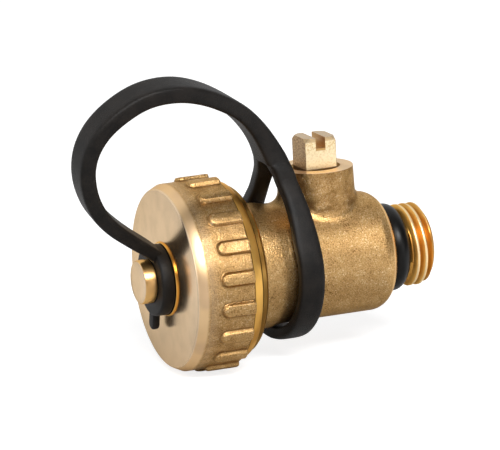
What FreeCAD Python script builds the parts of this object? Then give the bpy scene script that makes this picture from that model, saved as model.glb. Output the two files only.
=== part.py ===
"""Drain cock: a small brass ball valve with a ribbed screw cap held by a moulded rubber strap.

Millimetres.  The body axis is X, with the inlet thread towards +X and the cap at -X.  Z is up
along the stem.  The origin is on the body axis, at the inner end of the inlet thread.
"""
import FreeCAD
import Part
import math
import os

V = FreeCAD.Vector
X_AXIS = V(1, 0, 0)
Y_AXIS = V(0, 1, 0)
Z_AXIS = V(0, 0, 1)

# Fits
running_fit = 0.05          # radial room of a turning piece in its bore
seat_fit = 0.05             # radial room of a piece pressed or screwed home
face_gap = 0.05             # room between two faces that turn or part
strap_gap = 0.30            # room between the rubber strap and the brass it loops round
match = 0.02                # how close an edge lies to the place it is looked for

# Inlet thread, G 1/4
inlet_thread_d = 13.157
inlet_thread_length = 4.09
inlet_end_chamfer = 0.70
inlet_end_drop = 1.00       # how far the end chamfer cuts in below the thread's crest
inlet_bore_d = 8.0

# Sealing ring under the inlet shoulder
inlet_groove_d = 9.9
inlet_groove_length = 3.60
inlet_seal_d = 14.0         # over the crown of its domed section
inlet_seal_side = 0.55      # straight part of the section at each side

# Forged body
neck_d = 19.84
barrel_step = 0.40          # how far the barrel lies below the neck
shoulder_round = 3.0
shoulder_drop = 1.21        # how far the shoulder's turned face lies below the barrel
neck_taper = 2.0            # length of the slight taper from the neck to the barrel
neck_root_round = 0.8
stem_from_shoulder = 9.78
neck_end_from_shoulder = 23.84
boss_top_z = 14.72
boss_top_d = 11.94
boss_draft = 2.0            # degrees
boss_foot_round = 1.8

# Outlet thread, G 3/4
outlet_thread_d = 26.441
outlet_end_chamfer = 0.90
outlet_root_chamfer = 0.45
outlet_mouth_d = 20.0
outlet_flange = 2.6         # wall between the outlet mouth and the neck

# Ball, seats and their retainer
ball_d = 13.8
ball_bore_d = 7.5
ball_room = 0.60            # radial room of the ball in its chamber
seat_length = 3.35
seat_setback = 0.15         # how far the back of each seat stops short of the ball's end
seat_bore_d = 7.8
retainer_length = 4.5
retainer_hex = 9.0          # across flats
retainer_hex_depth = 3.0

# Stem
stem_d = 7.40
stem_square = 5.22
stem_square_top_z = 19.65
stem_shoulder_drop = 1.20   # the round part stops this far below the boss top
stem_top_chamfer = 0.70
stem_top_d = 6.20
stem_slot_width = 1.57
stem_slot_depth = 1.70
stem_collar_d = 9.6
stem_collar_height = 1.30
tongue_width = 2.30
tongue_length = 6.0
tongue_z = 5.30
boss_mouth_d = 7.94
boss_mouth_depth = 1.20
washer_height = 0.55
stem_ring_d = 0.90          # section of each stem ring
stem_groove_d = 5.60
stem_groove_width = 1.30
stem_groove_from_ceiling = 0.50
stem_groove_pitch = 1.85
stem_groove_count = 2

# Cap
cap_face_from_shoulder = 36.10
cap_depth = 11.1
cap_wall = 1.48             # from the bore to the forged side
cap_rim_wall = 0.63         # what the turned rear cone leaves of the wall at the rim
cap_face_chamfer = 1.5
cap_face_drop = 0.69        # how far the face chamfer cuts in below the forged side
cap_floor = 2.2
cap_entry_chamfer = 0.35
rib_count = 19
rib_height = 0.60
rib_width = 2.3
rib_from_face = 3.8         # where the ribs start behind the cap's face
rib_round = 0.35
rib_turn = 5.95             # degrees from the cap's top to the first rib on the near side
rib_end_from_rim = 1.20     # where the ribs and the forged side stop at the turned rear cone
gasket_height = 1.6
gasket_bore_d = 19.0
gasket_room = 0.4           # radial room between the gasket and the cap's wall

# Knob on the cap's face
knob_from_face = 4.40
knob_d = 6.94
knob_length = 1.95
knob_chamfer = 0.35
knob_groove_d = 5.0
pad_d = 11.62
pad_height = 0.24

# Rubber strap
strap_width = 4.6
strap_thickness = 2.3
strap_corner = 0.55
strap_lean = 14.0           # degrees that the loop leans towards the viewer
eyelet_d = 11.2
tab_width = 2.0
tab_length = 2.9
tab_thickness = 1.2
ring_from_shoulder = 17.0   # middle of the ring that holds the body's neck
ring_width = 4.2
ring_thickness = 2.1
ring_apex = 14.4            # inside height of the ring's drawn-up top
ring_lean = 5.0             # degrees that its top leans towards the viewer
ring_tilt = 4.0             # degrees that its top leans towards the cap
ring_turn = 6.0             # degrees that its near side is turned towards the inlet
ring_corner = 0.6

# Middle line of the strap, chosen by eye: distance beyond the eyelet or the ring towards the cap's
# side, y, height over the body axis or the ring's top, roll of the section in degrees, extra thickness
loop_from_eyelet = [
    (0.15, -1.0, 4.2, strap_lean, -0.1),
    (1.55, -1.3, 5.5, strap_lean, 0),
    (3.85, -1.8, 7.3, strap_lean, 0),
    (8.95, -2.8, 11.1, strap_lean, 0),
    (11.50, -3.5, 13.9, strap_lean, 0),
    (12.80, -4.9, 19.8, strap_lean, 0),
    (12.15, -5.8, 23.5, strap_lean, 0),
    (10.35, -6.6, 26.6, strap_lean, 0),
    (7.20, -7.3, 29.2, strap_lean, 0),
    (3.20, -7.7, 31.0, strap_lean, 0),
]
loop_to_ring = [
    (18.55, -7.8, 13.95, 13.0, 0),
    (13.40, -6.9, 12.45, 9.0, 0.05),
    (7.80, -4.7, 9.25, 3.0, 0.2),
    (4.45, -3.3, 6.05, 0, 0.5),
    (2.50, -2.5, 3.05, 0, 0.9),
    (1.35, -1.9, 0.45, 3.0, 1.3),
    (1.10, -1.5, -1.35, 5.0, 1.5),
]

# Room for the ball
chamber_d = ball_d + 2 * ball_room
seat_back = ball_d / 2 - seat_setback
seat_front = seat_back - seat_length

# Places along the body axis
shoulder_x = -inlet_groove_length
inlet_end_x = inlet_thread_length
stem_x = shoulder_x - stem_from_shoulder
neck_end_x = shoulder_x - neck_end_from_shoulder
cap_face_x = shoulder_x - cap_face_from_shoulder
cap_rim_x = cap_face_x + cap_depth
cap_floor_x = cap_face_x + cap_floor
rib_end_x = cap_rim_x - rib_end_from_rim
outlet_end_x = cap_floor_x + gasket_height + face_gap
pad_x = cap_face_x - pad_height
knob_end_x = cap_face_x - knob_from_face
knob_back_x = knob_end_x + knob_length
eyelet_x = (knob_back_x + pad_x) / 2
ring_x = shoulder_x - ring_from_shoulder

# Heights and radii that several pieces share
barrel_r = neck_d / 2 - barrel_step
cap_bore_r = outlet_thread_d / 2 + running_fit
cap_side_r = cap_bore_r + cap_wall
cap_rim_r = cap_bore_r + cap_rim_wall
rib_crest_r = cap_side_r + rib_height
stem_collar_z = chamber_d / 2 + face_gap
collar_top_z = stem_collar_z + stem_collar_height
washer_z = collar_top_z + face_gap
boss_ceiling_z = washer_z + washer_height
stem_shoulder_z = boss_top_z - stem_shoulder_drop
ring_bore_r = neck_d / 2 + strap_gap
ring_top_z = ring_apex * (1 + ring_thickness / ring_bore_r)


def spun(start, *steps):
    """Solid of revolution about X from (x, r) corners; a step of four values is an arc's middle and end."""
    edges = []
    here = V(start[0], 0, start[1])
    for step in steps + (start,):
        end = V(step[-2], 0, step[-1])
        if len(step) == 4:
            edges.append(Part.Arc(here, V(step[0], 0, step[1]), end).toShape())
        else:
            edges.append(Part.makeLine(here, end))
        here = end
    face = Part.Face(Part.Wire(edges))
    return face.revolve(V(0, 0, 0), X_AXIS, 360)


def rod_x(radius, x1, x2):
    """Cylinder on the body axis from x1 to x2."""
    return Part.makeCylinder(radius, x2 - x1, V(x1, 0, 0), X_AXIS)


def rod_z(radius, z1, z2):
    """Cylinder on the stem axis from z1 to z2."""
    return Part.makeCylinder(radius, z2 - z1, V(stem_x, 0, z1), Z_AXIS)


def block(x_size, y_size, z1, z2):
    """Box centred on the stem axis from z1 to z2."""
    return Part.makeBox(x_size, y_size, z2 - z1, V(stem_x - x_size / 2, -y_size / 2, z1))


def edges_where(shape, test):
    """Edges whose every sampled point passes the test."""
    return [e for e in shape.Edges if all(test(p) for p in e.discretize(7))]


def corner_bow(radius):
    """How far the middle of a quarter round lies inside its square corner, along each side."""
    return radius * (1 - math.sqrt(0.5))


def body_outside():
    """Forged and turned outside of the body, before it is bored."""
    rim_r = barrel_r - shoulder_drop
    neck_r = neck_d / 2
    thread_r = outlet_thread_d / 2
    inlet_r = inlet_thread_d / 2
    draft = math.tan(math.radians(boss_draft))
    foot_r = boss_top_d / 2 + boss_top_z * draft
    taper_x = stem_x - foot_r - boss_foot_round
    root_mid = corner_bow(neck_root_round)
    trunk = spun(
        (outlet_end_x, 0),
        (outlet_end_x, thread_r - outlet_end_chamfer),
        (outlet_end_x + outlet_end_chamfer, thread_r),
        (neck_end_x - outlet_root_chamfer, thread_r),
        (neck_end_x, thread_r - outlet_root_chamfer),
        (neck_end_x, neck_r + neck_root_round),
        (neck_end_x + root_mid, neck_r + root_mid, neck_end_x + neck_root_round, neck_r),
        (taper_x - neck_taper, neck_r),
        (taper_x, barrel_r),
        (shoulder_x + shoulder_round, barrel_r),
        (shoulder_x + shoulder_round, 0),
    )
    boss = Part.makeCone(foot_r, boss_top_d / 2, boss_top_z, V(stem_x, 0, 0), Z_AXIS)
    body = trunk.fuse(boss)

    def on_foot(p):
        at_wall = abs(math.hypot(p.x - stem_x, p.y) - foot_r + p.z * draft) < match
        return at_wall and boss_foot_round < p.z < barrel_r + boss_foot_round

    body = body.makeFillet(boss_foot_round, edges_where(body, on_foot))
    # The rounded shoulder is tangent to the barrel and is faced off at its rim
    centre_r = barrel_r - shoulder_round
    start_x = shoulder_x - math.sqrt(shoulder_round ** 2 - (rim_r - centre_r) ** 2)
    half = math.asin((shoulder_x - start_x) / shoulder_round) / 2
    mid = (start_x + shoulder_round * math.sin(half), centre_r + shoulder_round * math.cos(half))
    past_x = shoulder_x + 2 * shoulder_round
    waste = spun(
        (start_x, barrel_r),
        mid + (shoulder_x, rim_r),
        (shoulder_x, 0),
        (past_x, 0),
        (past_x, boss_top_z),
        (start_x, boss_top_z),
    )
    inlet = spun(
        (shoulder_x, 0),
        (shoulder_x, inlet_groove_d / 2),
        (0, inlet_groove_d / 2),
        (0, inlet_r),
        (inlet_end_x - inlet_end_chamfer, inlet_r),
        (inlet_end_x, inlet_r - inlet_end_drop),
        (inlet_end_x, 0),
    )
    return body.cut(waste).fuse(inlet).removeSplitter()


def valve_body():
    """Body with its waterway, ball chamber, stem bore and outlet mouth."""
    body = body_outside()
    chamber_end_x = stem_x + seat_back
    mouth_end_x = neck_end_x - outlet_flange
    for tool in (
        rod_x(chamber_d / 2, outlet_end_x, chamber_end_x),
        rod_x(outlet_mouth_d / 2, outlet_end_x, mouth_end_x),
        rod_x(inlet_bore_d / 2, chamber_end_x, inlet_end_x),
        rod_z(stem_d / 2 + running_fit, 0, boss_top_z),
        rod_z(boss_mouth_d / 2, boss_top_z - boss_mouth_depth, boss_top_z),
        rod_z(stem_collar_d / 2 + running_fit, 0, boss_ceiling_z),
    ):
        body = body.cut(tool)
    return body


def inlet_seal():
    """Sealing ring with a domed section that fills the groove behind the inlet thread."""
    inner_r = inlet_groove_d / 2 + seat_fit
    side_r = inner_r + inlet_seal_side
    back_x = shoulder_x + face_gap
    front_x = -face_gap
    crown = ((back_x + front_x) / 2, inlet_seal_d / 2)
    return spun((back_x, inner_r), (back_x, side_r), crown + (front_x, side_r), (front_x, inner_r))


def ball():
    """Ball in the closed position, bored across the flow and slotted along it for the stem's tongue."""
    sphere = Part.makeSphere(ball_d / 2, V(stem_x, 0, 0))
    bore = Part.makeCylinder(ball_bore_d / 2, ball_d, V(stem_x, -ball_d / 2, 0), Y_AXIS)
    slot = block(ball_d, tongue_width + 2 * running_fit, tongue_z - face_gap, ball_d / 2)
    return sphere.cut(bore).cut(slot)


def seat(side):
    """Soft ring that the ball turns against; side is +1 at the inlet and -1 at the outlet."""
    front = stem_x + side * seat_front
    back = stem_x + side * seat_back
    ring = rod_x(chamber_d / 2 - seat_fit, min(front, back), max(front, back))
    hole = rod_x(seat_bore_d / 2, min(front, back), max(front, back))
    return ring.cut(hole).cut(Part.makeSphere(ball_d / 2 + running_fit, V(stem_x, 0, 0)))


def seat_retainer():
    """Ring screwed into the chamber behind the outlet seat, with a hexagon socket for its key."""
    front_x = stem_x - seat_back
    back_x = front_x - retainer_length
    ring = rod_x(chamber_d / 2 - seat_fit, back_x, front_x)
    corner = retainer_hex / math.sqrt(3)
    turns = [math.radians(60 * k) for k in range(7)]
    hexagon = Part.makePolygon([V(back_x, corner * math.cos(a), corner * math.sin(a)) for a in turns])
    socket = Part.Face(hexagon).extrude(V(retainer_hex_depth, 0, 0))
    return ring.cut(rod_x(seat_bore_d / 2, back_x, front_x)).cut(socket)


def stem_groove_z(k):
    """Foot of the k-th groove for a stem ring."""
    return boss_ceiling_z + stem_groove_from_ceiling + k * stem_groove_pitch


def stem():
    """Stem put in from below: tongue, collar, ringed shaft, and a square with a slot across the flow."""
    r = stem_d / 2
    tongue = block(tongue_length, tongue_width, tongue_z, stem_collar_z)
    collar = rod_z(stem_collar_d / 2, stem_collar_z, collar_top_z)
    shaft = rod_z(r, collar_top_z, stem_shoulder_z)
    for k in range(stem_groove_count):
        z = stem_groove_z(k)
        root = rod_z(stem_groove_d / 2, z, z + stem_groove_width)
        shaft = shaft.cut(rod_z(r, z, z + stem_groove_width).cut(root))
    square = block(stem_square, stem_square, stem_shoulder_z, stem_square_top_z)
    cone_z = stem_square_top_z - stem_top_chamfer
    bar = rod_z(r, stem_shoulder_z, cone_z)
    tip = Part.makeCone(r, stem_top_d / 2, stem_top_chamfer, V(stem_x, 0, cone_z), Z_AXIS)
    square = square.common(bar.fuse(tip))
    slot = block(stem_slot_width, stem_d, stem_square_top_z - stem_slot_depth, stem_square_top_z)
    return tongue.fuse([collar, shaft, square.cut(slot)]).removeSplitter()


def stem_thrust_washer():
    """Flat ring between the stem's collar and the ceiling of the boss."""
    ring = rod_z(stem_collar_d / 2, washer_z, boss_ceiling_z)
    return ring.cut(rod_z(stem_d / 2 + running_fit, washer_z, boss_ceiling_z))


def stem_oring(k):
    """Ring in the k-th groove of the stem."""
    middle = (stem_groove_d / 2 + stem_d / 2 + running_fit) / 2
    z = stem_groove_z(k) + stem_groove_width / 2
    return Part.makeTorus(middle, stem_ring_d / 2, V(stem_x, 0, z), Z_AXIS)


def cap_rib():
    """One grip rib at the top of the cap: straight sides, a round front end and softened edges."""
    sunk_r = cap_side_r - cap_wall / 2
    front_x = cap_face_x + rib_from_face
    half = rib_width / 2
    plan = Part.Wire([
        Part.Arc(V(front_x + half, half, 0), V(front_x, 0, 0), V(front_x + half, -half, 0)).toShape(),
        Part.makeLine(V(front_x + half, -half, 0), V(cap_rim_x, -half, 0)),
        Part.makeLine(V(cap_rim_x, -half, 0), V(cap_rim_x, half, 0)),
        Part.makeLine(V(cap_rim_x, half, 0), V(front_x + half, half, 0)),
    ])
    prism = Part.Face(plan).extrude(V(0, 0, 2 * rib_crest_r))
    shell = spun((front_x, sunk_r), (front_x, rib_crest_r), (rib_end_x, rib_crest_r), (rib_end_x, sunk_r))
    rib = prism.common(shell)

    def on_top(p):
        return abs(math.hypot(p.y, p.z) - rib_crest_r) < match

    top = [e for e in edges_where(rib, on_top) if e.BoundBox.XLength > match]
    return rib.makeFillet(rib_round, top)


def cap():
    """Screw cap with its knob, grip ribs and turned rear cone."""
    turned = spun(
        (knob_end_x, 0),
        (knob_end_x, knob_d / 2 - knob_chamfer),
        (knob_end_x + knob_chamfer, knob_d / 2),
        (knob_back_x, knob_d / 2),
        (knob_back_x, knob_groove_d / 2),
        (pad_x, knob_groove_d / 2),
        (pad_x, pad_d / 2),
        (cap_face_x, pad_d / 2),
        (cap_face_x, cap_side_r - cap_face_drop),
        (cap_face_x + cap_face_chamfer, cap_side_r),
        (rib_end_x, cap_side_r),
        (cap_rim_x, cap_rim_r),
        (cap_rim_x, cap_bore_r + cap_entry_chamfer),
        (cap_rim_x - cap_entry_chamfer, cap_bore_r),
        (cap_floor_x, cap_bore_r),
        (cap_floor_x, 0),
    )
    rib = cap_rib()
    ribs = []
    for k in range(rib_count):
        copy = rib.copy()
        copy.rotate(V(0, 0, 0), X_AXIS, rib_turn + 360 * k / rib_count)
        ribs.append(copy)
    return turned.fuse(ribs).removeSplitter()


def cap_gasket():
    """Flat ring in the cap that the outlet's end seals on."""
    ring = rod_x(cap_bore_r - gasket_room, cap_floor_x, cap_floor_x + gasket_height)
    return ring.cut(rod_x(gasket_bore_d / 2, cap_floor_x, cap_floor_x + gasket_height))


def rounded_section(centre, along, across, width, thickness):
    """Closed wire of a rectangle with round corners, square to the strap's run."""
    normal = along.cross(across)
    a = width / 2
    b = thickness / 2
    c = strap_corner
    k = corner_bow(c)

    def at(u, v):
        return centre + across * u + normal * v

    edges = []
    for su, sv, first in ((1, 1, True), (-1, 1, False), (-1, -1, True), (1, -1, False)):
        side = at(su * a, sv * (b - c))
        corner = at(su * (a - k), sv * (b - k))
        face = at(su * (a - c), sv * b)
        start, end = (side, face) if first else (face, side)
        if edges:
            edges.append(Part.makeLine(edges[-1].Vertexes[-1].Point, start))
        edges.append(Part.Arc(start, corner, end).toShape())
    edges.append(Part.makeLine(edges[-1].Vertexes[-1].Point, edges[0].Vertexes[0].Point))
    return Part.Wire(edges)


def strap_band():
    """Band from the eyelet over the loop to the ring."""
    route = [(eyelet_x - d, y, z, roll, extra) for d, y, z, roll, extra in loop_from_eyelet]
    route += [(ring_x - d, y, ring_top_z + up, roll, extra) for d, y, up, roll, extra in loop_to_ring]
    centres = [V(*row[:3]) for row in route]
    last = len(route) - 1
    sections = []
    for k, (x, y, z, roll, extra) in enumerate(route):
        along = centres[min(k + 1, last)] - centres[max(k - 1, 0)]
        along.normalize()
        across = V(0, math.cos(math.radians(roll)), math.sin(math.radians(roll)))
        across = across - along * across.dot(along)
        across.normalize()
        sections.append(rounded_section(centres[k], along, across, strap_width, strap_thickness + extra))
    return Part.makeLoft(sections, True, False)


def teardrop(radius, x):
    """Outline in the plane of the neck: a circle drawn up to a point over its top."""
    apex = ring_apex * radius / ring_bore_r
    touch = math.acos(radius / apex)
    right = V(x, radius * math.sin(touch), radius * math.cos(touch))
    left = V(x, -right.y, right.z)
    top = V(x, 0, apex)
    return Part.Wire([
        Part.makeLine(top, right),
        Part.Arc(right, V(x, 0, -radius), left).toShape(),
        Part.makeLine(left, top),
    ])


def strap_ring():
    """Ring that holds the neck, drawn up at its top into the band."""
    x1 = ring_x - ring_width / 2
    outer = Part.Face(teardrop(ring_bore_r + ring_thickness, x1)).extrude(V(ring_width, 0, 0))
    inner = Part.Face(teardrop(ring_bore_r, x1)).extrude(V(ring_width, 0, 0))
    ring = outer.cut(inner)
    ends = edges_where(ring, lambda p: abs(abs(p.x - ring_x) - ring_width / 2) < match)
    ring = ring.makeFillet(ring_corner, ends)
    middle = V(ring_x, 0, 0)
    ring.rotate(middle, X_AXIS, ring_lean)
    ring.rotate(middle, Y_AXIS, -ring_tilt)
    ring.rotate(middle, Z_AXIS, ring_turn)
    return ring


def strap_eyelet():
    """Flat eyelet that snaps into the knob's groove, with a pull tab under it."""
    front_x = knob_back_x + face_gap
    back_x = pad_x - face_gap
    disc = rod_x(eyelet_d / 2, front_x, back_x)
    length = eyelet_d / 2 + tab_length - tab_width / 2
    tab_x = eyelet_x - tab_thickness / 2
    arm = Part.makeBox(tab_thickness, tab_width, length, V(tab_x, -tab_width / 2, -length))
    tip = Part.makeCylinder(tab_width / 2, tab_thickness, V(tab_x, 0, -length), X_AXIS)
    eyelet = disc.fuse([arm, tip])
    eyelet.rotate(V(0, 0, 0), X_AXIS, strap_lean)
    return eyelet


def cap_strap():
    """One rubber moulding: eyelet, band and ring."""
    strap = strap_band().fuse([strap_eyelet(), strap_ring()])
    groove = rod_x(knob_groove_d / 2 + running_fit, knob_back_x, pad_x)
    head = rod_x(knob_d / 2 + running_fit, knob_end_x, knob_back_x + face_gap)
    inside = rod_x(ring_bore_r, ring_x - ring_width, ring_x + ring_width)
    return strap.cut(groove).cut(head).cut(inside)


parts = {
    "valve_body": valve_body(),
    "seat_retainer": seat_retainer(),
    "inlet_seat": seat(1),
    "outlet_seat": seat(-1),
    "ball": ball(),
    "stem": stem(),
    "stem_thrust_washer": stem_thrust_washer(),
    "stem_oring_lower": stem_oring(0),
    "stem_oring_upper": stem_oring(1),
    "inlet_seal": inlet_seal(),
    "cap": cap(),
    "cap_gasket": cap_gasket(),
    "cap_strap": cap_strap(),
}

os.makedirs("parts", exist_ok=True)
for name, shape in parts.items():
    print(name, len(shape.Solids), shape.isValid(), round(shape.Volume, 2))
    shape.exportStep(os.path.join("parts", name + ".step"))
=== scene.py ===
"""Looks of the drain cock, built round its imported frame.

The body axis is X, with the inlet thread at +X and the cap at -X; Z is up along the stem.
Pieces are drawn in millimetres and scaled to metres when they are finished.
"""
import math

import bmesh
import bpy
from mathutils import Matrix, Vector, noise


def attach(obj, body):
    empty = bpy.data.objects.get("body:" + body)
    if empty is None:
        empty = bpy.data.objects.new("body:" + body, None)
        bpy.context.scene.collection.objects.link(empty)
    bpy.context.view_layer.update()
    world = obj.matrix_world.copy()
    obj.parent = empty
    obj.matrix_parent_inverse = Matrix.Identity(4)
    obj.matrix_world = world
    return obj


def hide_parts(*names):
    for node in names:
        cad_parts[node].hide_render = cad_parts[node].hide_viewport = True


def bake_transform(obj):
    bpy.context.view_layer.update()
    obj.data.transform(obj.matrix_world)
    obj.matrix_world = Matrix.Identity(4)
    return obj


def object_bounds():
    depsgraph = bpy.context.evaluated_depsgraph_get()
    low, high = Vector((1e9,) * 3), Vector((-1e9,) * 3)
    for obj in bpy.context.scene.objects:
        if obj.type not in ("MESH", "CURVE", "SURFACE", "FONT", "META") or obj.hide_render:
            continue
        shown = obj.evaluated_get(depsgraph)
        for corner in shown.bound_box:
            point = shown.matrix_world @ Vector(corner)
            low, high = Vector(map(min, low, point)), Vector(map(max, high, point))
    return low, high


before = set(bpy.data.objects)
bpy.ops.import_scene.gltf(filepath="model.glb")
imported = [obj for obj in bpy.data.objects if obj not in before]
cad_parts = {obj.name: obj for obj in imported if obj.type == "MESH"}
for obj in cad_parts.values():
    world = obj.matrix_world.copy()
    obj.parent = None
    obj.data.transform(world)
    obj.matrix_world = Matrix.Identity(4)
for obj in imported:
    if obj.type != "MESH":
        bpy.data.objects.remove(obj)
cad_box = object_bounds()
scene = bpy.context.scene

MM = 0.001
ORIGIN = (0, 0, 0)
X_AXIS = (1, 0, 0)

# Body: places along its axis, radii and heights, as in the part's source
inlet_end_x = 4.09
shoulder_x = -3.60
neck_end_x = -27.44
mouth_end_x = -30.04
outlet_end_x = -35.85
neck_r = 9.92
inlet_crest_r = 6.5785
inlet_pitch = 1.337
inlet_bore_r = 4.0
outlet_crest_r = 13.2205
outlet_pitch = 1.814
mouth_r = 10.0
throat_r = 7.5
boss_top_z = 14.72
well_floor_z = 9.0
well_r = 3.95

# Stem
stem_x = -13.38
stem_square = 5.22
stem_top_z = 19.65
slot_width = 1.57
slot_floor_z = 17.95

# Cap
cap_face_x = -39.70
cap_floor_x = -37.50
cap_rim_x = -28.60
cap_bore_r = 13.2705
cap_side_r = 14.7505
cap_rim_r = 13.9005
cap_face_r = 14.0605
chamfer_end_x = cap_face_x + 1.5
pad_x = -39.94
pad_r = 5.81
knob_end_x = -44.10
knob_back_x = -42.15
knob_r = 3.47
groove_r = 2.5
rib_count = 19
rib_height = 0.60
rib_width = 2.3
rib_turn = math.radians(171.75)  # a rib's place round the body axis, from +Y
rib_front_x = cap_face_x + 3.8
rib_end_x = cap_rim_x - 1.85


# Shader tools

class Value:
    """A shader socket that takes part in arithmetic: each operation adds a Math node."""

    def __init__(self, finish, socket):
        self.finish = finish
        self.socket = socket

    def maths(self, operation, *others):
        return self.finish.node("Math", {"operation": operation}, dict(enumerate((self,) + others)))

    def __add__(self, other):
        return self.maths("ADD", other)

    def __sub__(self, other):
        return self.maths("SUBTRACT", other)

    def __rsub__(self, other):
        return self.finish.node("Math", {"operation": "SUBTRACT"}, {0: other, 1: self})

    def __mul__(self, other):
        return self.maths("MULTIPLY", other)

    def __pow__(self, other):
        return self.maths("POWER", other)

    def __abs__(self):
        return self.maths("ABSOLUTE")

    def __or__(self, other):
        """The larger of the two."""
        return self.maths("MAXIMUM", other)

    def rise(self, low, high):
        """0 below low and 1 over high, smooth between them."""
        settings = {"interpolation_type": "SMOOTHSTEP"}
        return self.finish.node("MapRange", settings, {"Value": self, "From Min": low, "From Max": high})

    def fall(self, low, high):
        """1 below low and 0 over high."""
        return 1 - self.rise(low, high)

    __radd__ = __add__
    __rmul__ = __mul__


class Finish:
    """The node tree of a material or of the world."""

    def __init__(self, tree):
        self.tree = tree
        tree.nodes.clear()

    def node(self, kind, settings, inputs, out=0):
        """Adds a node; settings are set first, inputs are values or links by socket name or number."""
        made = self.tree.nodes.new("ShaderNode" + kind)
        for key, value in settings.items():
            if key == "stops":
                ramp = made.color_ramp
                while len(ramp.elements) < len(value):
                    ramp.elements.new(0.5)
                for element, (place, colour) in zip(ramp.elements, value):
                    element.position = place
                    element.color = (*colour, 1)
            else:
                setattr(made, key, value)
        for key, value in inputs.items():
            socket = made.inputs[key]
            if isinstance(value, Value):
                self.tree.links.new(value.socket, socket)
            elif socket.type == "RGBA":
                socket.default_value = (*value, 1)
            else:
                socket.default_value = value
        return Value(self, made.outputs[out]) if made.outputs else None

    def spot(self):
        """Place on the piece in millimetres."""
        place = self.node("TexCoord", {}, {}, "Object")
        return self.node("VectorMath", {"operation": "SCALE"}, {0: place, "Scale": 1 / MM})

    def stretched(self, spot, scale):
        return self.node("Mapping", {}, {"Vector": spot, "Scale": scale})

    def axes(self, spot):
        split = self.node("SeparateXYZ", {}, {0: spot}).socket.node
        return [Value(self, socket) for socket in split.outputs]

    def grain(self, spot, scale, detail=2.0, rough=0.5):
        inputs = {"Vector": spot, "Scale": scale, "Detail": detail, "Roughness": rough}
        return self.node("TexNoise", {}, inputs)

    def pits(self, spot, scale):
        return self.node("TexVoronoi", {}, {"Vector": spot, "Scale": scale}, "Distance")

    def mix(self, factor, first, second):
        return self.node("Mix", {"data_type": "RGBA"}, {0: factor, 6: first, 7: second}, 2)

    def ramp(self, value, *stops):
        return self.node("ValToRGB", {"stops": stops}, {0: value})

    def bump(self, height, depth):
        """Bump from a height between 0 and 1, depth in millimetres."""
        return self.node("Bump", {}, {"Height": height, "Distance": depth * MM, "Strength": 1.0})

    def rays(self):
        """Masks of what the camera sees directly, and of what shows in metal or through glass."""
        path = self.node("LightPath", {}, {}).socket.node
        seen, glossy, through = (
            Value(self, path.outputs["Is %s Ray" % kind]) for kind in ("Camera", "Glossy", "Transmission"))
        return seen, glossy | through

    def surface(self, **inputs):
        named = {key.replace("_", " "): value for key, value in inputs.items()}
        shader = self.node("BsdfPrincipled", {}, named)
        self.node("OutputMaterial", {}, {"Surface": shader})


class Place:
    """Where a forging's finish is asked for: x, y and z, and r, the distance from the body axis."""

    def __init__(self, f):
        self.f = f
        self.spot = f.spot()
        self.x, self.y, self.z = f.axes(self.spot)
        self.r = (self.y * self.y + self.z * self.z) ** 0.5


def material(name):
    made = bpy.data.materials.new(name)
    made.use_nodes = True
    return made, Finish(made.node_tree)


# Colours of the finishes, linear

FORGED = (0.55, 0.330, 0.128)
FORGED_DARK = (0.19, 0.098, 0.032)
FORGED_PALE = (0.99, 0.84, 0.56)
TURNED = (0.88, 0.68, 0.475)
TURNED_HAZE = tuple(0.90 * c for c in TURNED)
GOLD = (0.90, 0.52, 0.13)
TARNISH = (0.46, 0.20, 0.035)
# Painted shade in corners and recesses
SHADE_BROWN = (0.10, 0.052, 0.014)
# Painted shade in the thread's flanks and painted highlight on its crests
THREAD_FLANK_SHADE = (0.55, 0.28, 0.06)
THREAD_CREST_HIGHLIGHT = (0.97, 0.82, 0.52)
BRASS_EDGE = (0.92, 0.78, 0.58)  # tint of grazing reflections
MILLED = (0.96, 0.80, 0.52)
MILLED_SHADE = (0.84, 0.64, 0.36)
MILLED_AGED = (0.70, 0.46, 0.18)
# Painted shade: the stem's two darker flats, and its top
FLAT_SHADE = (0.62, 0.43, 0.23)
FLAT_SHADE_DARK = (0.30, 0.18, 0.085)
# Painted shade in the stem's slot and on its foot in the boss
SLOT_SHADE = (0.50, 0.25, 0.05)
FOOT_SHADE = (0.10, 0.055, 0.02)
PLATING = (0.80, 0.81, 0.83)
PLATING_HAZE = (0.68, 0.69, 0.71)
SEAT_WHITE = (0.86, 0.86, 0.84)
SEAT_DULL = (0.78, 0.78, 0.75)
STRAP_BLACK = (0.0100, 0.0076, 0.0060)
SEAL_BLACK = (0.0050, 0.0043, 0.0038)
FLOOR_GREY = (0.52, 0.52, 0.52)
FLOOR_SHADE = (0.50, 0.50, 0.50)


# Finishes

lathe_marks = 9.0  # per millimetre
blast_depth = 0.095
lathe_depth = 0.003


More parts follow.
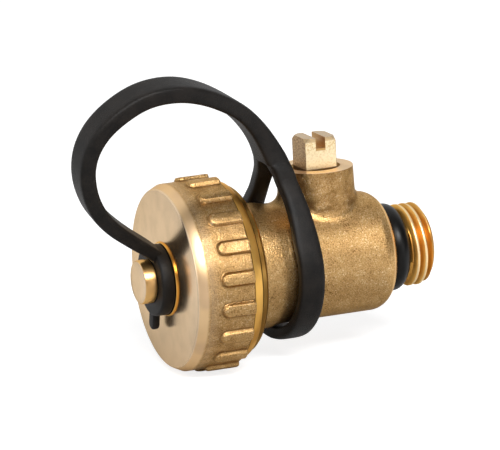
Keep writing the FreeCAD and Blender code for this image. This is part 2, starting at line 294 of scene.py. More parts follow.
def brass(name, turned, golden, stain_and_shade, corner_shade):
    """Shot-blasted forging, with masks for its turned faces, golden machined faces, darker skin with
    painted shade, and painted shade in corners.
    """
    made, f = material(name)
    at = Place(f)
    machined = turned(at)
    yellow = golden(at)
    cloud = f.grain(at.spot, 0.5, 3.0, 0.6)
    blast = f.grain(at.spot, 4.2, 3.0, 0.72)
    glint = f.pits(at.spot, 5.5)
    # Random tone of the skin; the pits' pale speckles are painted glints
    tone = (blast - 0.5) * 1.35 + (cloud - 0.5) * 0.5 + (0.5 - glint) * 0.35 + 0.5
    skin = f.ramp(tone, (0.18, FORGED_DARK), (0.46, FORGED), (0.60, FORGED), (0.92, FORGED_PALE))
    # Darker skin, and painted shade under the body, at the boss's foot and between the ribs
    skin = f.mix(stain_and_shade(at), skin, FORGED_DARK)
    haze = f.grain(at.spot, 0.30, 2.0)
    polish = f.mix(haze.rise(0.35, 0.70), TURNED, TURNED_HAZE)
    tarnish = f.grain(at.spot, 0.16, 1.0).rise(0.42, 0.62) * 0.65
    polish = f.mix(yellow, polish, f.mix(tarnish, GOLD, TARNISH))
    screwed = at.x.rise(-0.1, 0.0)
    # Painted shade in the inlet thread's flanks and painted highlight on its crests
    flank = at.r.fall(inlet_crest_r - 0.5, inlet_crest_r - 0.1) * screwed
    crest = at.r.rise(inlet_crest_r - 0.06, inlet_crest_r - 0.01) * screwed
    polish = f.mix(flank * 0.8, polish, THREAD_FLANK_SHADE)
    polish = f.mix(crest * 0.7, polish, THREAD_CREST_HIGHLIGHT)
    colour = f.mix(machined, skin, polish)
    # Painted shade in corners
    colour = f.mix(corner_shade(at), colour, SHADE_BROWN)
    rings = f.node("CombineXYZ", {}, {0: at.r * lathe_marks, 1: at.x * lathe_marks, 2: 0.0})
    marks = f.grain(rings, 1.0, 2.0, 0.7)
    blasted = f.bump(blast * 0.75 + glint * 0.25, blast_depth)
    lathed = f.bump(marks, lathe_depth)
    normal = f.node("Mix", {"data_type": "VECTOR"}, {0: machined, 4: blasted, 5: lathed}, 1)
    satin = at.r.rise(cap_face_r - 0.16, cap_face_r + 0.09) * 0.12
    blasted_rough = 0.24 + blast * 0.14
    turned_rough = 0.20 + yellow * 0.08 + screwed * 0.14 + satin + marks * 0.05
    rough = blasted_rough * (1 - machined) + turned_rough * machined
    f.surface(Base_Color=colour, Metallic=1.0, Roughness=rough, Normal=normal, Specular_Tint=BRASS_EDGE)
    return made


def body_turned(at):
    top = at.z.rise(boss_top_z - 0.06, boss_top_z - 0.02)
    shoulder = at.x.rise(shoulder_x - 0.80, shoulder_x - 0.65)
    collar = at.x.fall(neck_end_x + 0.02, neck_end_x + 0.10)
    bore = at.r.fall(throat_r + 0.02, throat_r + 0.10)
    return top | shoulder | collar | bore


def body_golden(at):
    shoulder = at.x.rise(shoulder_x - 0.9, shoulder_x - 0.7) * 0.55
    inlet = at.x.rise(shoulder_x + 0.1, shoulder_x + 0.2)
    outlet = at.x.fall(neck_end_x, neck_end_x + 0.1)
    return shoulder | inlet | outlet


def body_stain_and_shade(at):
    """Darker skin on the boss, more so in patches; painted shade at the boss's foot and under the body,
    partly in patches.
    """
    patch = at.f.grain(at.spot, 0.55, 3.0, 0.6).rise(0.40, 0.62)
    boss = at.r.rise(neck_r - 0.22, neck_r + 0.48) * at.z.rise(8.0, 9.0)
    foot = boss * at.r.fall(neck_r + 1.08, neck_r + 3.08)
    under = at.z.fall(-10.0, -6.0)
    return boss * 0.18 + under * 0.32 + (boss * 0.35 + foot * 0.30 | under * 0.25) * patch


def body_corner_shade(at):
    """Painted shade in dark corners: behind the cap's rim, at the neck's root and in the stem's well."""
    collar_start = at.x.rise(outlet_end_x + 6.0, outlet_end_x + 6.2)
    collar = at.x.fall(neck_end_x - 0.50, neck_end_x - 0.40) * collar_start
    root = at.x.fall(neck_end_x + 0.3, neck_end_x + 1.3) * at.x.rise(neck_end_x - 0.05, neck_end_x)
    across = (at.x - stem_x) * (at.x - stem_x) + at.y * at.y
    well = across.fall(well_r ** 2, (well_r + 0.025) ** 2) * at.z.rise(well_floor_z, well_floor_z + 0.5)
    return collar * 0.75 | root * 0.7 | well


def cap_turned(at):
    wave = at.f.grain(at.spot, 0.5, 2.0) * 0.16
    front = (at.x - wave).fall(chamfer_end_x - 0.30, chamfer_end_x + 0.40)
    rubbed = at.x.fall(chamfer_end_x, chamfer_end_x + 2.6) * 0.22
    rear = at.x.rise(rib_end_x - 0.03, rib_end_x)
    inside = at.r.fall(cap_bore_r + 0.3, cap_bore_r + 0.4)
    return front | rubbed | rear | inside


def cap_golden(at):
    rear = at.x.rise(rib_end_x - 0.2, rib_end_x - 0.1)
    knob = at.x.rise(knob_end_x + 0.02, knob_end_x + 0.10) * at.x.fall(pad_x - 0.1, pad_x)
    pad = at.r.rise(pad_r - 0.21, pad_r - 0.13) * at.r.fall(pad_r + 0.05, pad_r + 0.11)
    chamfer_side = at.x.fall(chamfer_end_x + 0.3, chamfer_end_x + 0.5)
    chamfer = at.r.rise(cap_face_r - 0.11, cap_face_r + 0.14) * chamfer_side
    return rear | knob * 0.8 | pad | chamfer * 0.4


def cap_rib_shade(at):
    """Painted shade between the ribs, in patches, and at their roots."""
    patch = at.f.grain(at.spot, 0.6, 3.0, 0.6).rise(0.38, 0.60)
    between = at.r.fall(cap_side_r + 0.08, cap_side_r + 0.30)
    root = at.f.node("Attribute", {"attribute_name": "rib_root"}, {}, "Fac")
    return between * patch * 0.30 | root * 0.62


def cap_step_shade(at):
    """Painted shade: a dark line where the ribs stop at the turned cone."""
    return at.x.rise(rib_end_x - 0.05, rib_end_x) * at.x.fall(rib_end_x + 0.08, rib_end_x + 0.20) * 0.8


def milled_brass():
    """Milled bar of the stem: two flats painted bright and two painted duller, as its lit and shaded sides,
    with painted shade in the slot and on its dark foot in the boss.
    """
    made, f = material("milled_brass")
    spot = f.spot()
    x, y, z = f.axes(spot)
    marks = f.grain(f.stretched(spot, (1.2, 1.2, 9.0)), 1.0, 3.0, 0.6)
    speckle = f.grain(spot, 3.0, 3.0, 0.7)
    off = abs(x - stem_x)
    above = z.rise(boss_top_z - 0.72, boss_top_z - 0.32)
    # Painted light and shade: the flats facing Y bright, the two facing X and the top duller
    shaded_flats = off.rise(stem_square / 2 - 0.10, stem_square / 2 - 0.03) * above
    aged = z.rise(stem_top_z - 3.45, stem_top_z - 0.65) * speckle.rise(0.40, 0.62) * 0.6
    top = z.rise(stem_top_z - 0.75, stem_top_z - 0.45) * 0.7
    cut = z.rise(slot_floor_z - 0.45, slot_floor_z - 0.25)
    slot = off.fall(slot_width / 2 + 0.005, slot_width / 2 + 0.065) * cut
    foot = z.fall(boss_top_z - 0.1, boss_top_z + 0.1)
    bright = f.mix(speckle.rise(0.45, 0.70), MILLED, MILLED_SHADE)
    bright = f.mix(aged, bright, MILLED_AGED)
    dull = f.mix(speckle.rise(0.38, 0.62), FLAT_SHADE_DARK, FLAT_SHADE)
    colour = f.mix(shaded_flats | top, bright, dull)
    # Painted shade in the slot and on the foot down in the boss
    colour = f.mix(slot * 0.8, colour, SLOT_SHADE)
    colour = f.mix(foot * 0.9, colour, FOOT_SHADE)
    rough = 0.28 + marks * 0.14 + shaded_flats * 0.16
    f.surface(Base_Color=colour, Metallic=1.0, Roughness=rough, Normal=f.bump(marks + speckle * 0.5, 0.03))
    return made


def polished_brass():
    """Turned ring inside the outlet."""
    made, f = material("polished_brass")
    marks = f.grain(f.stretched(f.spot(), (lathe_marks, 1.0, 1.0)), 1.0, 2.0)
    colour = f.mix(marks.rise(0.35, 0.65), GOLD, TURNED)
    f.surface(Base_Color=colour, Metallic=1.0, Roughness=0.22 + marks * 0.10, Normal=f.bump(marks, 0.01))
    return made


def rubber(name, pale, rough, grit, gloss):
    """Black moulded rubber with a fine bloom on it, grit in millimetres."""
    made, f = material(name)
    spot = f.spot()
    cloud = f.grain(spot, 0.35, 3.0, 0.6)
    dust = f.grain(spot, 4.5, 3.0, 0.7)
    deep = tuple(0.25 * c for c in pale)
    colour = f.mix((cloud * 0.6 + dust * 0.4).rise(0.36, 0.64), deep, pale)
    normal = f.bump(dust, grit)
    f.surface(Base_Color=colour, Roughness=rough + dust * 0.15, Normal=normal, Specular_IOR_Level=gloss)
    return made


def plated_ball():
    made, f = material("plated_ball")
    haze = f.grain(f.spot(), 1.5, 3.0)
    colour = f.mix(haze.rise(0.35, 0.65), PLATING, PLATING_HAZE)
    f.surface(Base_Color=colour, Metallic=1.0, Roughness=0.06 + haze * 0.10)
    return made


def seat_plastic():
    made, f = material("seat_plastic")
    haze = f.grain(f.spot(), 2.0, 3.0)
    colour = f.mix(haze.rise(0.35, 0.65), SEAT_WHITE, SEAT_DULL)
    f.surface(Base_Color=colour, Roughness=0.42 + haze * 0.16, Normal=f.bump(haze, 0.01))
    return made


forged_body = brass("forged_brass_body", body_turned, body_golden, body_stain_and_shade, body_corner_shade)
forged_cap = brass("forged_brass_cap", cap_turned, cap_golden, cap_rib_shade, cap_step_shade)
strap_rubber = rubber("strap_rubber", STRAP_BLACK, rough=0.40, grit=0.06, gloss=0.20)
seal_rubber = rubber("seal_rubber", SEAL_BLACK, rough=0.26, grit=0.01, gloss=0.20)
bright_stem = milled_brass()
bright_ring = polished_brass()
chrome = plated_ball()
white_seat = seat_plastic()


# Mesh tools

def finished(name, bm, finish, sharp):
    """Object at the origin from a mesh drawn in millimetres, sharp where faces meet at that angle."""
    bmesh.ops.scale(bm, vec=(MM, MM, MM), verts=bm.verts)
    mesh = bpy.data.meshes.new(name)
    bm.to_mesh(mesh)
    bm.free()
    mesh.shade_smooth()
    mesh.set_sharp_from_angle(angle=math.radians(sharp))
    mesh.materials.append(finish)
    made = bpy.data.objects.new(name, mesh)
    scene.collection.objects.link(made)
    return made


def lathe(bm, points, steps):
    """Turns a closed or open outline of (x, r) points about the body axis."""
    verts = [bm.verts.new((x, 0, r)) for x, r in points]
    edges = [bm.edges.new(pair) for pair in zip(verts, verts[1:])]
    bmesh.ops.spin(bm, geom=verts + edges, cent=ORIGIN, axis=X_AXIS, angle=math.tau, steps=steps,
                   use_merge=True)
    bmesh.ops.remove_doubles(bm, verts=bm.verts, dist=1e-5)


def node_copy(name):
    """Merged copy of a CAD node's mesh, in millimetres."""
    bm = bmesh.new()
    bm.from_mesh(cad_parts[name].data)
    bmesh.ops.scale(bm, vec=(1 / MM, 1 / MM, 1 / MM), verts=bm.verts)
    bmesh.ops.remove_doubles(bm, verts=bm.verts, dist=1e-4)
    return bm


def trim(bm, x, side):
    """Cuts away what lies beyond x on that side (+1 or -1) and gives the open edges of the cut."""
    geom = bm.verts[:] + bm.edges[:] + bm.faces[:]
    cut = bmesh.ops.bisect_plane(bm, geom=geom, plane_co=(x, 0, 0), plane_no=(side, 0, 0), clear_outer=True)
    return [g for g in cut["geom_cut"] if isinstance(g, bmesh.types.BMEdge) and g.is_boundary]


def radius(co):
    return math.hypot(co.y, co.z)


def set_radius(vert, r):
    scale = r / radius(vert.co)
    vert.co.y *= scale
    vert.co.z *= scale


def open_loops(bm, x):
    """Boundary edges that lie in the plane at x."""
    return [e for e in bm.edges if e.is_boundary and all(abs(v.co.x - x) < 1e-4 for v in e.verts)]


def carry(bm, edges, x, r):
    """Extrudes a boundary loop to a circle of radius r at x."""
    made = bmesh.ops.extrude_edge_only(bm, edges=edges)["geom"]
    for vert in (g for g in made if isinstance(g, bmesh.types.BMVert)):
        vert.co.x = x
        set_radius(vert, r)
    return [g for g in made if isinstance(g, bmesh.types.BMEdge) and g.is_boundary]


# One turn of a pipe thread from crest to crest: share of the pitch, share of the depth
thread_shape = [
    (0.00, 1.00), (0.12, 0.985), (0.20, 0.90), (0.42, 0.10), (0.50, 0.0),
    (0.58, 0.10), (0.80, 0.90), (0.88, 0.985), (1.00, 1.00),
]
thread_depth = 0.64  # of the pitch


def thread(bm, crest, pitch, x1, x2, steps):
    """Right-hand pipe thread from x1 to x2, trimmed square at both ends."""
    depth = thread_depth * pitch
    start = x1 - 1.5 * pitch
    turns = math.ceil((x2 - start) / pitch) + 1
    verts = [bm.verts.new((start + u * pitch, 0, crest - depth * (1 - h))) for u, h in thread_shape]
    edges = [bm.edges.new(pair) for pair in zip(verts, verts[1:])]
    bmesh.ops.spin(bm, geom=verts + edges, cent=ORIGIN, axis=X_AXIS, dvec=(pitch / steps, 0, 0),
                   angle=math.tau * turns, steps=steps * turns)
    bmesh.ops.remove_doubles(bm, verts=bm.verts, dist=1e-4)
    trim(bm, x1, -1)
    trim(bm, x2, 1)


def joined(bm, other):
    """Adds another mesh to this one."""
    spare = bpy.data.meshes.new("spare")
    other.to_mesh(spare)
    other.free()
    bm.from_mesh(spare)
    bpy.data.meshes.remove(spare)


def smooth(t):
    t = min(1.0, max(0.0, t))
    return t * t * (3 - 2 * t)


def even(a, b, count):
    return [a + (b - a) * k / count for k in range(count)]


# Body with its two pipe threads

inlet_cut_x = -0.03
inlet_steps = 96
inlet_lead = 0.75
inlet_lead_slope = 1.35
inlet_edge = 0.35
relief_r = 5.5
relief_slope = 3.0
outlet_cut_x = -28.45
outlet_steps = 120
outlet_lead = 1.1
outlet_edge = 0.3


def inlet_end():
    """Inlet thread with its lead-in, the relief at its root and the bore."""
    bm = bmesh.new()
    thread(bm, inlet_crest_r, inlet_pitch, inlet_cut_x, inlet_end_x, inlet_steps)
    for vert in bm.verts:
        lead = inlet_crest_r - max(0.0, vert.co.x - (inlet_end_x - inlet_lead)) * inlet_lead_slope
        lead = min(lead, relief_r + max(0.0, vert.co.x) * relief_slope)
        set_radius(vert, min(radius(vert.co), lead))
    rim = carry(bm, open_loops(bm, inlet_end_x), inlet_end_x, inlet_bore_r + inlet_edge)
    rim = carry(bm, rim, inlet_end_x - inlet_edge, inlet_bore_r)
    carry(bm, rim, inlet_cut_x, inlet_bore_r)
    bmesh.ops.bridge_loops(bm, edges=open_loops(bm, inlet_cut_x))
    bmesh.ops.recalc_face_normals(bm, faces=bm.faces)
    return bm


def outlet_end():
    """Outlet thread with its lead-in, the mouth and the throat."""
    bm = bmesh.new()
    thread(bm, outlet_crest_r, outlet_pitch, outlet_end_x, outlet_cut_x, outlet_steps)
    for vert in bm.verts:
        lead = outlet_crest_r - max(0.0, outlet_end_x + outlet_lead - vert.co.x)
        set_radius(vert, min(radius(vert.co), lead))
    rim = carry(bm, open_loops(bm, outlet_end_x), outlet_end_x, mouth_r + outlet_edge)
    rim = carry(bm, rim, outlet_end_x + outlet_edge, mouth_r)
    rim = carry(bm, rim, mouth_end_x, mouth_r)
    rim = carry(bm, rim, mouth_end_x, throat_r)
    carry(bm, rim, outlet_cut_x, throat_r)
    bmesh.ops.bridge_loops(bm, edges=open_loops(bm, outlet_cut_x))
    bmesh.ops.recalc_face_normals(bm, faces=bm.faces)
    return bm


body_mesh = node_copy("valve_body")
for cut_x, cut_side in ((inlet_cut_x, 1), (outlet_cut_x, -1)):
    bmesh.ops.bridge_loops(body_mesh, edges=trim(body_mesh, cut_x, cut_side))
joined(body_mesh, inlet_end())
joined(body_mesh, outlet_end())
body = finished("forged_body", body_mesh, forged_body, sharp=28)
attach(body, "valve")
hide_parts("valve_body")


# Cap

rib_pitch = math.tau / rib_count
rib_steps = 28
rib_front_rows = 10
rib_end_rows = 16
rib_top_rows = 14
rib_lip_rows = 3
# Half of a rib's pitch: where even columns would stand, and where they are drawn to
column_places = [(0, 0), (0.143, 0.150), (0.393, 0.272), (0.5001, 0.5001)]


def rib_off(angle):
    """Place between two gaps, from -0.5 to 0.5, with a rib in the middle."""
    return ((angle - rib_turn) / rib_pitch + 0.5) % 1 - 0.5


def drawn_in(off):
    """Moves evenly spread columns towards the flanks of the ribs."""
    t = abs(off)
    for (a, fa), (b, fb) in zip(column_places, column_places[1:]):
        if t <= b:
            return math.copysign(fa + (fb - fa) * (t - a) / (b - a), off)
    return off


def rib_inside(x, off):
    """How far a place lies inside the plan of its rib."""
    across = abs(off) * rib_pitch * cap_side_r
    end_x = rib_front_x + rib_width / 2
    return rib_width / 2 - (across if x > end_x else math.hypot(x - end_x, across))


def rib_lift(inside):
    """Height of a grip rib over the cap's side: steep flanks and a softly domed top."""
    return rib_height * (0.88 * smooth((inside + 0.06) / 0.40) + 0.12 * smooth(inside / (rib_width / 2)))


def screw_cap():
    """Turned cap with its ribs raised; the attribute rib_root marks the foot of their flanks, where shade
    is painted.
    """
    bm = bmesh.new()
    root = bm.verts.layers.float.new("rib_root")
    flat_x = rib_front_x - 0.3
    bend_x = rib_front_x + 1.3
    lip_x = rib_end_x - 0.12
    rim_x = cap_rim_x - 0.20
    rows = even(chamfer_end_x, flat_x, rib_front_rows) + even(flat_x, bend_x, rib_end_rows)
    rows += even(bend_x, lip_x, rib_top_rows) + even(lip_x, rib_end_x, rib_lip_rows)
    knob = [
        (knob_end_x, 0), (knob_end_x, 1.6), (knob_end_x, knob_r - 0.30),
        (knob_end_x + 0.10, knob_r - 0.08), (knob_end_x + 0.32, knob_r),
        (knob_back_x - 0.10, knob_r), (knob_back_x, knob_r - 0.10), (knob_back_x, groove_r),
    ]
    face = [
        (pad_x, groove_r), (pad_x, pad_r - 0.09), (pad_x + 0.08, pad_r), (cap_face_x, pad_r),
        (cap_face_x, 9.0), (cap_face_x, cap_face_r - 0.30), (cap_face_x + 0.04, cap_face_r - 0.12),
        (cap_face_x + 0.14, cap_face_r), (cap_face_x + 0.34, cap_face_r + 0.13),
    ]
    side = [(x, cap_side_r) for x in rows]
    rear = [
        (rib_end_x, cap_side_r - 0.12), (rib_end_x + 0.06, cap_side_r - 0.13),
        (rim_x - 0.10, cap_rim_r + 0.03), (rim_x, cap_rim_r - 0.08),
    ]
    inside = [
        (rim_x, cap_bore_r + 0.35), (rim_x - 0.35, cap_bore_r), (cap_floor_x, cap_bore_r), (cap_floor_x, 0),
    ]
    lathe(bm, knob + face + side + rear + inside, rib_count * rib_steps)
    for vert in bm.verts:
        co = vert.co
        r = radius(co)
        if r < 0.01:
            continue
        angle = math.atan2(co.z, co.y)
        off = drawn_in(rib_off(angle))
        angle += (off - rib_off(angle)) * rib_pitch
        x = co.x
        if r > cap_side_r - 0.01:
            deep = rib_inside(x, off)
            fade = smooth((x - chamfer_end_x) / 0.4) * smooth((rib_end_x - x) / 0.4)
            wave = noise.noise(Vector(co) * 0.8) * 0.03 + noise.noise(Vector(co) * 2.3) * 0.015
            lip = 0.10 * smooth((x - lip_x) / (rib_end_x - lip_x))
            r = cap_side_r + rib_lift(deep) + wave * fade - lip
            vert[root] = smooth((deep + 0.38) / 0.22) * smooth((0.16 - deep) / 0.12)
        vert.co = (x, r * math.cos(angle), r * math.sin(angle))
    bmesh.ops.recalc_face_normals(bm, faces=bm.faces)
    return bm


cap = finished("screw_cap", screw_cap(), forged_cap, sharp=32)
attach(cap, "cap")
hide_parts("cap")


# Strap

strap_crease = 0.36
strap_levels = 3
strap_lean = math.radians(14)
ring_width = 4.0
ring_thick = 2.1
ring_r = neck_r + 0.10
row_steps = 3
eyelet_r = 5.6
eyelet_hole_r = 2.62
eyelet_play = 0.06
eyelet_soft = 0.35
eyelet_steps = 96
tab_size = (1.2, 2.1, 5.0)
tab_z = -6.0
# Band from the eyelet over the loop to the parting of the legs: x, y, z, roll in degrees, thickness, width
band_route = [
    (-41.20, -1.0, 4.2, 14, 2.1, 3.8), (-43.30, -1.55, 5.9, 14, 2.1, 3.9),
    (-46.30, -2.3, 8.05, 14, 2.2, 4.2), (-49.20, -2.95, 10.4, 14, 2.4, 4.8),
    (-51.35, -3.5, 12.7, 14, 2.5, 4.9), (-52.75, -4.1, 15.1, 14, 2.55, 4.9),
    (-53.60, -4.65, 17.7, 14, 2.6, 5.0), (-53.85, -5.2, 20.6, 14, 2.6, 5.0),
    (-53.20, -5.8, 23.6, 14, 2.65, 5.1), (-51.40, -6.6, 26.6, 14, 2.7, 5.2),
    (-48.25, -7.3, 29.2, 14, 2.75, 5.3), (-44.25, -7.7, 31.0, 14, 2.75, 5.3),
    (-39.35, -7.8, 31.3, 13, 2.75, 5.3), (-34.20, -6.9, 29.8, 9, 2.7, 5.1),
    (-28.60, -4.75, 26.6, 3, 2.6, 4.9), (-25.25, -3.35, 23.4, 0, 2.8, 4.8),
    (-23.25, -2.93, 20.4, 0, 3.2, 5.15), (-22.00, -2.60, 17.8, 0, 3.6, 6.4),
]
# Upper stretch of each leg, from the parting to the neck: x, y and z outside, y and z inside, width
front_leg = [
    (-21.05, -6.25, 16.0, -3.90, 15.3, 3.3), (-20.60, -6.65, 14.2, -4.50, 13.3, 3.2),
    (-20.10, -7.40, 12.4, -5.35, 11.5, 3.2), (-19.80, -8.40, 10.4, -6.45, 9.5, 3.4),
    (-19.65, -9.65, 8.0, -7.76, 7.1, 3.7),
]
rear_leg = [
    (-21.85, 1.45, 16.2, -0.70, 14.8, 3.0), (-21.75, 2.90, 14.3, 1.20, 12.6, 2.8),
    (-21.60, 4.50, 12.3, 3.00, 10.8, 2.9), (-21.40, 6.45, 10.6, 4.96, 9.1, 3.2),
    (-21.25, 8.80, 8.3, 7.18, 7.0, 3.6),
]
# Round the neck: angle below the near or far side in degrees, x of the front leg, x of the rear leg
neck_turn = [
    (-26, -19.60, -21.35), (-12, -19.48, -21.45), (2, -19.42, -21.50),
    (16, -19.45, -21.48), (32, -19.55, -21.38), (48, -19.75, -21.22),
    (64, -20.00, -21.00), (78, -20.28, -20.78), (90, -20.55, -20.55),
]


def eased(rows, steps):
    """Rows of numbers with more rows between them, on a smooth curve through all of them."""
    made = []
    last = len(rows) - 1
    for k in range(last):
        before, a, b, after = (Vector(rows[min(max(n, 0), last)]) for n in (k - 1, k, k + 1, k + 2))
        for step in range(steps):
            t = step / steps
            made.append(a + (b - before) * (t / 2) + (before * 2 - a * 5 + b * 4 - after) * (t * t / 2)
                        + (a * 3 - before - b * 3 + after) * (t ** 3 / 2))
    return made + [Vector(rows[last])]


def band_places(rows, k):
    """Six places round the k-th section of the band: near edge, middle and far edge, below and above."""
    centre = Vector(rows[k][:3])
    along = Vector(rows[min(k + 1, len(rows) - 1)][:3]) - Vector(rows[max(k - 1, 0)][:3])
    along.normalize()
    roll = math.radians(rows[k][3])
    across = Vector((0, math.cos(roll), math.sin(roll)))
    across = (across - along * across.dot(along)).normalized()
    over = along.cross(across) * (rows[k][4] / 2)
    half = across * (rows[k][5] / 2)
    return [centre + half * u + over * v for u in (-1, 0, 1) for v in (-1, 1)]


def leg_rows(band, leg, side):
    """Rows of a whole leg, the first two from the band; side is -1 for the front leg, 1 for the rear."""
    rows = []
    for k in (len(band) - 1 - row_steps, len(band) - 1):
        places = band_places(band, k)
        outer = places[0:2] if side < 0 else places[4:6]
        out = (outer[0] + outer[1]) / 2
        inner = (places[2] + places[3]) / 2
        rows.append((out.x, out.y, out.z, inner.y, inner.z, (outer[1] - outer[0]).length))
    rows += leg
    outer_r = ring_r + ring_thick
    for degrees, front_x, rear_x in neck_turn:
        angle = math.radians(degrees)
        x = front_x if side < 0 else rear_x
        y = side * math.cos(angle)
        z = -math.sin(angle)
        rows.append((x, y * outer_r, z * outer_r, y * ring_r, z * ring_r, ring_width))
    return rows


def leg_places(row):
    """Four places round a section of a leg: outer side, then inner side."""
    x, out_y, out_z, in_y, in_z, width = row
    half = width / 2
    return [Vector(place) for place in (
        (x - half, out_y, out_z), (x + half, out_y, out_z), (x - half, in_y, in_z), (x + half, in_y, in_z))]


def grow(bm, faces, corners, places, crease, creased, keep=False):
    """Extrudes faces together to new places and gives the new faces and corners.

    The old faces are deleted, unless they are kept to close the strap's end.
    """
    geom = bmesh.ops.extrude_face_region(bm, geom=faces)["geom"]
    new = [g for g in geom if isinstance(g, bmesh.types.BMFace)]
    fresh = [g for g in geom if isinstance(g, bmesh.types.BMVert)]
    moved = [min(fresh, key=lambda v: (v.co - corner.co).length) for corner in corners]
    for vert, place in zip(moved, places):
        vert.co = place
    for k in creased:
        bm.edges.get((corners[k], moved[k]))[crease] = strap_crease
    if not keep:
        bmesh.ops.delete(bm, geom=[face for face in faces if face.is_valid], context="FACES")
    return new, moved


def strap_loop():
    """Cage of the band and of the ring's two legs, before it is smoothed."""
    bm = bmesh.new()
    crease = bm.edges.layers.float.new("crease_edge")
    band = eased(band_route, row_steps)
    corners = [bm.verts.new(place) for place in band_places(band, 0)]
    faces = [bm.faces.new([corners[n] for n in order]) for order in ((0, 1, 3, 2), (2, 3, 5, 4))]
    for k in range(1, len(band)):
        faces, corners = grow(bm, faces, corners, band_places(band, k), crease, (0, 1, 4, 5), k == 1)
    ends = []
    near = next(face for face in faces if corners[0] in face.verts)
    far = next(face for face in faces if corners[5] in face.verts)
    for face, leg, side, order in ((near, front_leg, -1, (0, 1, 2, 3)), (far, rear_leg, 1, (4, 5, 2, 3))):
        faces = [face]
        ring = [corners[n] for n in order]
        for row in eased(leg_rows(band, leg, side), row_steps)[row_steps + 1:]:
            faces, ring = grow(bm, faces, ring, leg_places(row), crease, (0, 1, 2, 3))
        ends += faces
    bmesh.ops.delete(bm, geom=ends, context="FACES_ONLY")
    bmesh.ops.remove_doubles(bm, verts=bm.verts, dist=1e-3)
    bmesh.ops.recalc_face_normals(bm, faces=bm.faces)
    return bm


def strap_eyelet():
    """Flat eyelet in the knob's groove."""
    bm = bmesh.new()
    front_x = knob_back_x + eyelet_play
    back_x = pad_x - eyelet_play
    lathe(bm, [
        (front_x, eyelet_hole_r), (front_x, eyelet_r - eyelet_soft), (front_x + 0.1, eyelet_r - 0.1),
        (front_x + eyelet_soft, eyelet_r), (back_x - eyelet_soft, eyelet_r), (back_x - 0.1, eyelet_r - 0.1),
        (back_x, eyelet_r - eyelet_soft), (back_x, eyelet_hole_r), (front_x, eyelet_hole_r),
    ], eyelet_steps)
    bmesh.ops.recalc_face_normals(bm, faces=bm.faces)
    return bm


def pull_tab():
    """Tab below the eyelet, with a round foot."""
    bm = bmesh.new()
    made = bmesh.ops.create_cube(bm, size=1.0)["verts"]
    bmesh.ops.scale(bm, vec=tab_size, verts=made)
    low = [e for e in bm.edges if all(v.co.z < 0 for v in e.verts)]
    foot = [e for e in low if abs(e.verts[0].co.x - e.verts[1].co.x) > 0.1]
    bmesh.ops.bevel(bm, geom=foot, offset=1.0, segments=8, profile=0.5, affect="EDGES", material=-1)
    rim = [e for e in bm.edges if e.calc_face_angle(0) > 1.2]
    bmesh.ops.bevel(bm, geom=rim, offset=0.40, segments=4, profile=0.5, affect="EDGES", material=-1)
    bmesh.ops.translate(bm, vec=((knob_back_x + pad_x) / 2, 0, tab_z), verts=bm.verts)
    bmesh.ops.rotate(bm, cent=ORIGIN, matrix=Matrix.Rotation(strap_lean, 3, "X"), verts=bm.verts)
    return bm


def settle(piece):
    """Replaces a piece's mesh by what its modifiers make of it."""
    shown = piece.evaluated_get(bpy.context.evaluated_depsgraph_get())
    mesh = bpy.data.meshes.new_from_object(shown)
    piece.modifiers.clear()
    piece.data = mesh


strap = finished("rubber_strap", strap_loop(), strap_rubber, sharp=180)
smoothing = strap.modifiers.new("smoothing", "SUBSURF")
smoothing.levels = strap_levels
smoothing.render_levels = strap_levels
settle(strap)
for name, bm in (("eyelet", strap_eyelet()), ("tab", pull_tab())):
    extra = finished(name, bm, strap_rubber, sharp=40)
    union = strap.modifiers.new(name, "BOOLEAN")
    union.operation = "UNION"
    union.solver = "EXACT"
    union.object = extra
    settle(strap)
    bpy.data.objects.remove(extra)
strap.data.set_sharp_from_angle(angle=math.radians(50))
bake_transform(strap)
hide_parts("cap_strap")


# Finishes of the CAD nodes that show as they are

for name, finish in (
    ("stem", bright_stem), ("ball", chrome), ("inlet_seat", white_seat), ("outlet_seat", white_seat),
    ("seat_retainer", bright_ring), ("stem_thrust_washer", white_seat), ("stem_oring_lower", seal_rubber),
    ("stem_oring_upper", seal_rubber), ("inlet_seal", seal_rubber), ("cap_gasket", seal_rubber),
):
    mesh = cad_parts[name].data
    mesh.materials.clear()
    mesh.materials.append(finish)


# Studio

floor_r = 4000
floor_seen = 0.80  # the floor's own glow to the camera
floor_mirrored = 0.04  # its glow in the metal: everywhere, then in front, behind and right of the part
floor_front = 0.10
floor_far = 0.33
floor_card = 0.86
ROOM_LIGHT = (0.22, 0.22, 0.225)
ROOM_FRONT = (0.10, 0.097, 0.094)  # as the metal mirrors it
ROOM_BEHIND = (0.88, 0.88, 0.88)
WHITE = (1.0, 1.0, 1.0)

# Camera fitted to the photo: turns in degrees, aim and distance in millimetres, focal length in its pixels
camera_turns = (-22.03, 12.94, -2.78)
camera_aim = (-26.42, -3.85, 7.60)
camera_distance = 690.66
camera_focal = 4437.65
photo_width = 500
sensor_width = 36.0


def studio_floor():
    """Pale floor that keeps the shadow, white to the camera and graded in the metal."""
    bm = bmesh.new()
    low = cad_box[0][2] / MM
    bmesh.ops.create_circle(bm, cap_ends=True, segments=96, radius=floor_r,
                            matrix=Matrix.Translation((0, 0, low)))
    made, f = material("pale_floor")
    seen, mirrored = f.rays()
    spot = f.spot()
    x, y, z = f.axes(spot)
    far = y.rise(-10.0, 50.0)
    front = y.fall(-30.0, -10.0)
    card = x.rise(0.0, 25.0) * y.rise(-75.0, -45.0) * y.fall(-20.0, 20.0)
    shine = floor_mirrored + front * floor_front + far * floor_far + card * floor_card
    paper = f.grain(spot, 0.02, 3.0)
    colour = f.mix(paper.rise(0.3, 0.7), FLOOR_GREY, FLOOR_SHADE)
    matt = f.node("BsdfDiffuse", {}, {"Color": colour})
    glow = f.node("Emission", {}, {"Color": seen * floor_seen | mirrored * shine, "Strength": 1.0})
    f.node("OutputMaterial", {}, {"Surface": f.node("AddShader", {}, {0: matt, 1: glow})})
    floor = finished("floor", bm, made, sharp=30)


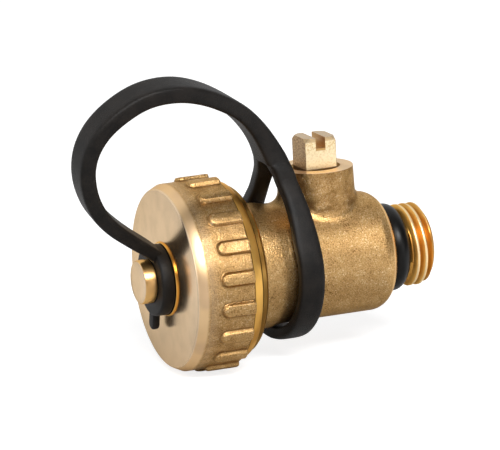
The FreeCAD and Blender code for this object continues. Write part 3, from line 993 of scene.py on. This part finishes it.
def studio_world():
    """White to the camera; the metal mirrors a room that is dark in front and pale behind."""
    world = bpy.data.worlds.new("studio")
    world.use_nodes = True
    scene.world = world
    f = Finish(world.node_tree)
    seen, mirrored = f.rays()
    x, y, z = f.axes(f.node("TexCoord", {}, {}, "Generated"))
    room = f.mix(y.rise(-0.35, 0.25), ROOM_FRONT, ROOM_BEHIND)
    colour = f.mix(mirrored, ROOM_LIGHT, room)
    colour = f.mix(seen, colour, WHITE)
    shown = f.node("Background", {}, {"Color": colour, "Strength": 1.0})
    f.node("OutputWorld", {}, {"Surface": shown})


def softbox(name, place, aim, width, height, power):
    """Rectangular lamp, in metres and watts."""
    lamp = bpy.data.lights.new(name, "AREA")
    lamp.shape = "RECTANGLE"
    lamp.size = width
    lamp.size_y = height
    lamp.energy = power
    made = bpy.data.objects.new(name, lamp)
    made.location = place
    made.rotation_euler = (Vector(aim) - Vector(place)).to_track_quat("-Z", "Y").to_euler()
    scene.collection.objects.link(made)


def photo_camera():
    azimuth, elevation, roll = (math.radians(turn) for turn in camera_turns)
    flat = math.cos(elevation)
    back = Vector((math.sin(azimuth) * flat, -math.cos(azimuth) * flat, math.sin(elevation)))
    level = Vector((math.cos(azimuth), math.sin(azimuth), 0))
    rise = back.cross(level)
    right = level * math.cos(roll) + rise * math.sin(roll)
    up = rise * math.cos(roll) - level * math.sin(roll)
    lens = bpy.data.cameras.new("camera")
    lens.sensor_fit = "HORIZONTAL"
    lens.sensor_width = sensor_width
    lens.lens = sensor_width * camera_focal / photo_width
    lens.clip_start = 0.01
    made = bpy.data.objects.new("camera", lens)
    stand = Vector(camera_aim) * MM + back * camera_distance * MM
    turn = Matrix((right, up, back)).transposed().to_4x4()
    made.matrix_world = Matrix.Translation(stand) @ turn
    scene.collection.objects.link(made)
    scene.camera = made


scene.view_settings.view_transform = "Standard"
studio_floor()
studio_world()
softbox("key", (-0.12, -0.55, 0.47), aim=(-0.02, 0, 0.0), width=0.50, height=0.22, power=6.7)
softbox("front", (0.24, -0.62, 0.08), aim=(-0.01, 0, 0.005), width=0.40, height=0.22, power=0.55)
softbox("side", (-0.60, -0.25, 0.25), aim=(-0.02, 0, 0.0), width=0.30, height=0.40, power=1.0)
photo_camera()
